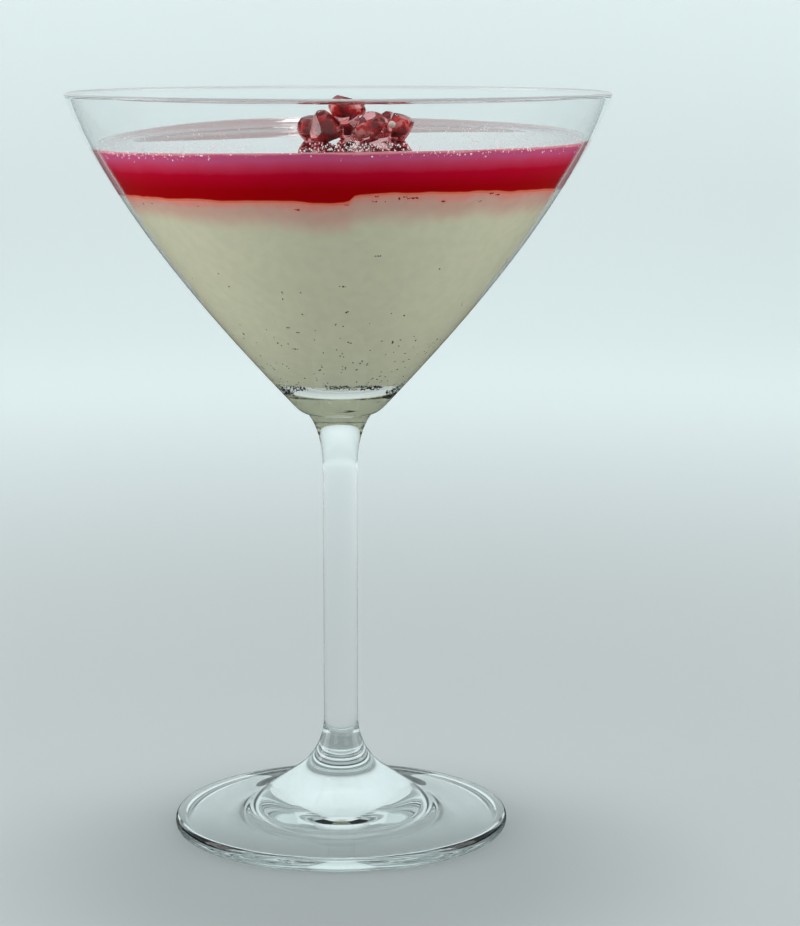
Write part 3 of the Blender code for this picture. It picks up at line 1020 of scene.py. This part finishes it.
class DESSERT_OT_arils(bpy.types.Operator):
    """Piles the pomegranate arils on the jelly"""

    bl_idname = "dessert.arils"
    bl_label = "Arils"

    def execute(self, context):
        settings = context.scene.dessert_arils
        if sorted(ARIL_ORDER) != ARIL_NODES:
            raise RuntimeError("the frame's arils are not the ones listed here")
        nub_look = plain_look("aril_nub", settings.nub, roughness=0.45, subsurface_weight=0.3)
        for number, (name, (_, size, strength, fullness, paleness)) in enumerate(ARIL_ORDER.items()):
            matrix = aril_place(name, number)
            flesh, core = aril_shape(number, size, 6), aril_core(size, fullness)
            flesh.transform(matrix)
            for vertex in flesh.verts:
                vertex.co.z = max(vertex.co.z, jelly_surface(vertex.co.x, vertex.co.y) - REACH)
            flesh_look = aril_look(settings, name + "_flesh", strength)
            aril_part("pomegranate_" + name, flesh, flesh_look, name)
            core.transform(matrix)
            aril_part(name + "_core", core, core_look(settings, name + "_core", paleness))
            if name in TIP_ARILS:
                nub = aril_nub(size)
                nub.transform(matrix)
                aril_part(name + "_tip", nub, nub_look)
        return {"FINISHED"}


def grains(name, slot, look, places, sizes, evenness, draw):
    """One joined piece of small lumps: each is a ball with its own stretch, turn and dents.

    Evenness goes from 0, for flakes and splinters, to 1, for round grains.
    """
    whole = ball(1)
    base = np.array([v.co for v in whole.verts])
    faces = [[v.index for v in f.verts] for f in whole.faces]
    whole.free()
    corners, polygons = [], []
    for place, size in zip(places, sizes):
        stretch = 1.0 + (1.0 - evenness) * draw.uniform(-0.4, 0.25, 3)
        dents = draw.uniform(0.78, 1.15, len(base))[:, None]
        turn = np.array(Euler(draw.uniform(0, math.tau, 3)).to_matrix())
        polygons += [[index + len(corners) for index in face] for face in faces]
        corners += list((base * dents * stretch * size) @ turn.T + np.array(place))
    mesh = bpy.data.meshes.new(name)
    mesh.from_pydata(corners, [], polygons)
    mesh.materials.append(look)
    made = bpy.data.objects.new(name, mesh)
    bpy.context.scene.collection.objects.link(made)
    piece(made, slot)


def on_wall(around, height):
    """A place at the wall of the bowl, around from the front, just inside the contents' own surface."""
    radius = wall_radius(height) + REACH - INSET
    return (radius * math.sin(around), -radius * math.cos(around), height)


class DESSERT_OT_vanilla(bpy.types.Operator):
    """Scatters vanilla specks in the cream, most of them near the floor of the bowl"""

    bl_idname = "dessert.vanilla"
    bl_label = "Vanilla specks"

    def execute(self, context):
        settings = context.scene.dessert_sprinkles
        draw = np.random.default_rng(7)
        places, sizes = [], []
        while len(places) < settings.vanilla:
            around = draw.uniform(-math.pi, math.pi)
            band = HIGH_VANILLA if draw.random() < HIGH_VANILLA_SHARE else LOW_VANILLA
            height = band[0] + band[1] * draw.random() ** band[2]
            lean = draw.uniform(-1.0, 1.0)
            for k in range(1 + int(STRAND_SPECKS * draw.random() ** 3)):
                step = k * draw.uniform(*STRAND_STEPS)
                turn = around + step * lean / STRAND_RADIUS
                places.append(on_wall(turn, height + step * (1 - abs(lean))))
                sizes.append(draw.uniform(SPECK_LEAST, settings.speck))
        while len(places) < settings.vanilla + settings.sediment:
            around = draw.uniform(-math.pi, math.pi)
            drift = 0.45 + 0.35 * math.sin(3 * around + 0.5) + 0.35 * math.sin(7 * around + 2.0)
            if draw.random() > drift:
                continue
            places.append(on_wall(around, SEDIMENT_HEIGHT + SEDIMENT_DEPTH * draw.random()))
            sizes.append(draw.uniform(*SEDIMENT_SIZES))
        look = plain_look("vanilla", (0.004, 0.003, 0.003), roughness=0.8, specular_ior_level=0.1)
        grains("vanilla_specks", "set_cream", look, places, sizes, 0.7, draw)
        return {"FINISHED"}


def grain_size(draw, most):
    """A radius for a grain of sugar: most grains are small."""
    return GRAIN_LEAST + (most - GRAIN_LEAST) * draw.random() ** 2


class DESSERT_OT_sugar(bpy.types.Operator):
    """Scatters sugar grains on the jelly"""

    bl_idname = "dessert.sugar"
    bl_label = "Sugar"

    def execute(self, context):
        settings = context.scene.dessert_sprinkles
        draw = np.random.default_rng(11)
        places, sizes = [], []
        while len(places) < settings.sugar:
            around = draw.uniform(-math.pi, math.pi)
            radius = wall_radius(JELLY_LEVEL) * math.sqrt(draw.random())
            x, y = radius * math.sin(around), -radius * math.cos(around)
            density = 0.0
            for share, middle_x, middle_y, reach_x, reach_y in SUGAR_PATCHES:
                away = ((x - middle_x) / reach_x) ** 2 + ((y - middle_y) / reach_y) ** 2
                density += share * math.exp(-away)
            ring = math.exp(-(((wall_radius(JELLY_LEVEL) - radius) / SUGAR_RING_WIDTH) ** 2))
            ring *= SUGAR_RING_SHARES[0 if y < 0 else 1]
            if draw.random() > density + SUGAR_RING * ring + SUGAR_ELSEWHERE:
                continue
            size = grain_size(draw, settings.grain)
            places.append((x, y, jelly_top(x, y) + size * GRAIN_RISE))
            sizes.append(size)
        for _ in range(settings.edge_sugar):
            patch = EDGE_LEFT if draw.random() < EDGE_LEFT_SHARE else EDGE_RIGHT
            around = math.radians(draw.normal(*patch))
            edge = jelly_top(*at_wall_of(math.sin(around), -math.cos(around), JELLY_LEVEL))
            places.append(on_wall(around, edge - abs(draw.normal(0, EDGE_SPREAD))))
            sizes.append(grain_size(draw, settings.edge_grain))
        # The sugar glows a little: painted light that brightens the grains
        look = plain_look(
            "sugar", (0.95, 0.95, 0.95), roughness=0.3, emission_color=(1.0, 1.0, 1.0, 1.0),
            emission_strength=0.3,
        )
        grains("sugar_grains", "red_jelly", look, places, sizes, 0.0, draw)
        return {"FINISHED"}


class DESSERT_OT_flecks(bpy.types.Operator):
    """Dots the set cream with red flecks of jelly just under its edge"""

    bl_idname = "dessert.flecks"
    bl_label = "Jelly flecks"

    def execute(self, context):
        settings = context.scene.dessert_sprinkles
        draw = np.random.default_rng(5)
        places, sizes = [], []
        for _ in range(settings.flecks):
            gathered = draw.random() < 0.5
            around = math.radians(draw.normal(*FLECK_TURN) if gathered else draw.uniform(-180, 180))
            edge = cream_surface(*at_wall_of(math.sin(around), -math.cos(around), CREAM_LEVEL))
            drop = FLECK_DROP[0] + abs(draw.normal(0, FLECK_DROP[1]))
            for k in range(draw.integers(1, 5)):
                height = edge - drop + draw.uniform(-FLECK_UNEVENNESS, FLECK_UNEVENNESS)
                places.append(on_wall(around + FLECK_STEP * k, height))
                sizes.append(draw.uniform(*FLECK_SIZES))
        look = plain_look("jelly_fleck", context.scene.dessert_jelly.body, roughness=0.2)
        grains("jelly_flecks", "red_jelly", look, places, sizes, 0.3, draw)
        return {"FINISHED"}


# ---------------------------------------------------------------- stage


def soft_box(name, place, aim_height, size, power):
    """A rectangular lamp that faces a point of the axis. It isn't seen, even through the glass."""
    lamp = bpy.data.lights.new(name, "AREA")
    lamp.shape = "RECTANGLE"
    lamp.size, lamp.size_y = size
    lamp.energy = power
    made = bpy.data.objects.new(name, lamp)
    made.location = place
    facing = Vector((0, 0, aim_height)) - Vector(place)
    made.rotation_euler = facing.to_track_quat("-Z", "Y").to_euler()
    made.visible_camera = False
    made.visible_transmission = False
    bpy.context.scene.collection.objects.link(made)


def make_floor(settings):
    """A wide pale floor that sweeps up far behind the glass and glows softly away from it.

    In mirror images its level part is dim, so that it lays no veil over the contents.
    """
    shape = bmesh.new()
    outline = [(FLOOR_FRONT, 0.0), (SWEEP_START, 0.0)]
    for a in np.linspace(0.1, math.pi / 2, 14):
        outline.append((SWEEP_START + SWEEP_RADIUS * math.sin(a), SWEEP_RADIUS * (1 - math.cos(a))))
    outline += [(SWEEP_START + SWEEP_RADIUS, SWEEP_TOP)]
    sides = (-FLOOR_HALF_WIDTH, FLOOR_HALF_WIDTH)
    rows = [[shape.verts.new((x, y, z)) for y, z in outline] for x in sides]
    for k in range(len(outline) - 1):
        shape.faces.new((rows[0][k], rows[1][k], rows[1][k + 1], rows[0][k + 1]))
    made = placed("floor", shape)
    made.data.shade_smooth()
    look = Look("floor")
    look.set(
        base_color=(*settings.floor, 1.0), roughness=0.7, specular_ior_level=0.2, emission_strength=1.0
    )
    distance = look.node("ShaderNodeVectorMath", operation="LENGTH")
    look.join(look.place(), distance.inputs[0])
    share = look.range(distance.outputs["Value"], GLOW_START, GLOW_FULL)
    glow = look.ramp(share, (
        (0.0, (0.0, 0.0, 0.0)), (0.55, settings.glow), (0.8, settings.glow), (1.0, settings.glow_far),
    ), "EASE")
    look.join(glow, look.shader.inputs["Emission Color"])
    dim = look.node("ShaderNodeEmission")
    dim.inputs["Color"].default_value = (*settings.front, 1.0)
    path = look.node("ShaderNodeLightPath")
    mirrored = look.math("MULTIPLY", path.outputs["Is Glossy Ray"], path.outputs["Is Reflection Ray"])
    level = look.math("LESS_THAN", look.height(), LEVEL_FLOOR)
    share = look.math("MULTIPLY", mirrored, level)
    look.show(look.blend(share, look.shader.outputs[0], dim.outputs[0]))
    made.data.materials.append(look.material)


def make_surroundings(settings):
    """A pale surrounding that is dim low in front, but for the camera itself.

    It lights nothing matt: the lamps do that.
    """
    world = bpy.data.worlds.new("surroundings")
    bpy.context.scene.world = world
    world.cycles_visibility.diffuse = False
    tree = Tree(world)
    parts = tree.node("ShaderNodeSeparateXYZ")
    tree.join(tree.node("ShaderNodeTexCoord").outputs["Generated"], parts.inputs[0])
    above = tree.math("MULTIPLY_ADD", parts.outputs["Z"], FRONT_RISE, parts.outputs["Y"])
    tint = tree.mix(tree.range(above, FRONT_DIM, FRONT_BRIGHT), settings.front, settings.sky)
    to_camera = tree.node("ShaderNodeLightPath").outputs["Is Camera Ray"]
    tree.join(tree.mix(to_camera, tint, settings.sky), tree.nodes["Background"].inputs["Color"])


def make_camera(settings):
    """The camera looks level to the back and down by its tilt."""
    lens = bpy.data.cameras.new("camera")
    lens.lens = settings.lens
    lens.sensor_width = 36.0
    made = bpy.data.objects.new("camera", lens)
    made.location = settings.camera
    made.rotation_euler = (math.pi / 2 - settings.tilt, 0.0, 0.0)
    bpy.context.scene.collection.objects.link(made)
    bpy.context.scene.camera = made


class DESSERT_OT_stage(bpy.types.Operator):
    """Sets up the floor, the soft light and the camera"""

    bl_idname = "dessert.stage"
    bl_label = "Stage"

    def execute(self, context):
        settings = context.scene.dessert_stage
        make_floor(settings)
        make_surroundings(settings)
        make_camera(settings)
        for name, values in SOFT_BOXES.items():
            soft_box(name, *values)
        scene = context.scene
        scene.view_settings.view_transform = "Standard"
        scene.cycles.caustics_refractive = False
        scene.cycles.caustics_reflective = False
        scene.cycles.max_bounces = 24
        scene.cycles.transmission_bounces = 20
        scene.cycles.glossy_bounces = 10
        scene.cycles.transparent_max_bounces = 20
        scene.cycles.sample_clamp_indirect = 10.0
        return {"FINISHED"}


class DESSERT_PT_panel(bpy.types.Panel):
    """Lists the pieces of the dessert"""

    bl_idname = "DESSERT_PT_panel"
    bl_label = "Panna cotta"
    bl_space_type = "VIEW_3D"
    bl_region_type = "UI"
    bl_category = "Dessert"

    def draw(self, context):
        for operator, group in STEPS:
            box = self.layout.box()
            box.operator(operator.bl_idname)
            settings = getattr(context.scene, group)
            for name in settings.__annotations__:
                box.prop(settings, name)


GROUPS = {
    "dessert_glass": GlassSettings,
    "dessert_cream": CreamSettings,
    "dessert_jelly": JellySettings,
    "dessert_arils": ArilSettings,
    "dessert_sprinkles": SprinkleSettings,
    "dessert_stage": StageSettings,
}
STEPS = (
    (DESSERT_OT_glass, "dessert_glass"),
    (DESSERT_OT_cream, "dessert_cream"),
    (DESSERT_OT_jelly, "dessert_jelly"),
    (DESSERT_OT_arils, "dessert_arils"),
    (DESSERT_OT_vanilla, "dessert_sprinkles"),
    (DESSERT_OT_sugar, "dessert_sprinkles"),
    (DESSERT_OT_flecks, "dessert_sprinkles"),
    (DESSERT_OT_stage, "dessert_stage"),
)


def register():
    for name, group in GROUPS.items():
        bpy.utils.register_class(group)
        setattr(bpy.types.Scene, name, bpy.props.PointerProperty(type=group))
    for operator, _ in STEPS:
        bpy.utils.register_class(operator)
    bpy.utils.register_class(DESSERT_PT_panel)


def unregister():
    bpy.utils.unregister_class(DESSERT_PT_panel)
    for operator, _ in reversed(STEPS):
        bpy.utils.unregister_class(operator)
    for name, group in GROUPS.items():
        delattr(bpy.types.Scene, name)
        bpy.utils.unregister_class(group)


def main():
    register()
    bpy.ops.dessert.glass()
    bpy.ops.dessert.cream()
    bpy.ops.dessert.jelly()
    bpy.ops.dessert.arils()
    bpy.ops.dessert.vanilla()
    bpy.ops.dessert.sugar()
    bpy.ops.dessert.flecks()
    bpy.ops.dessert.stage()


if __name__ == "__main__":
    main()
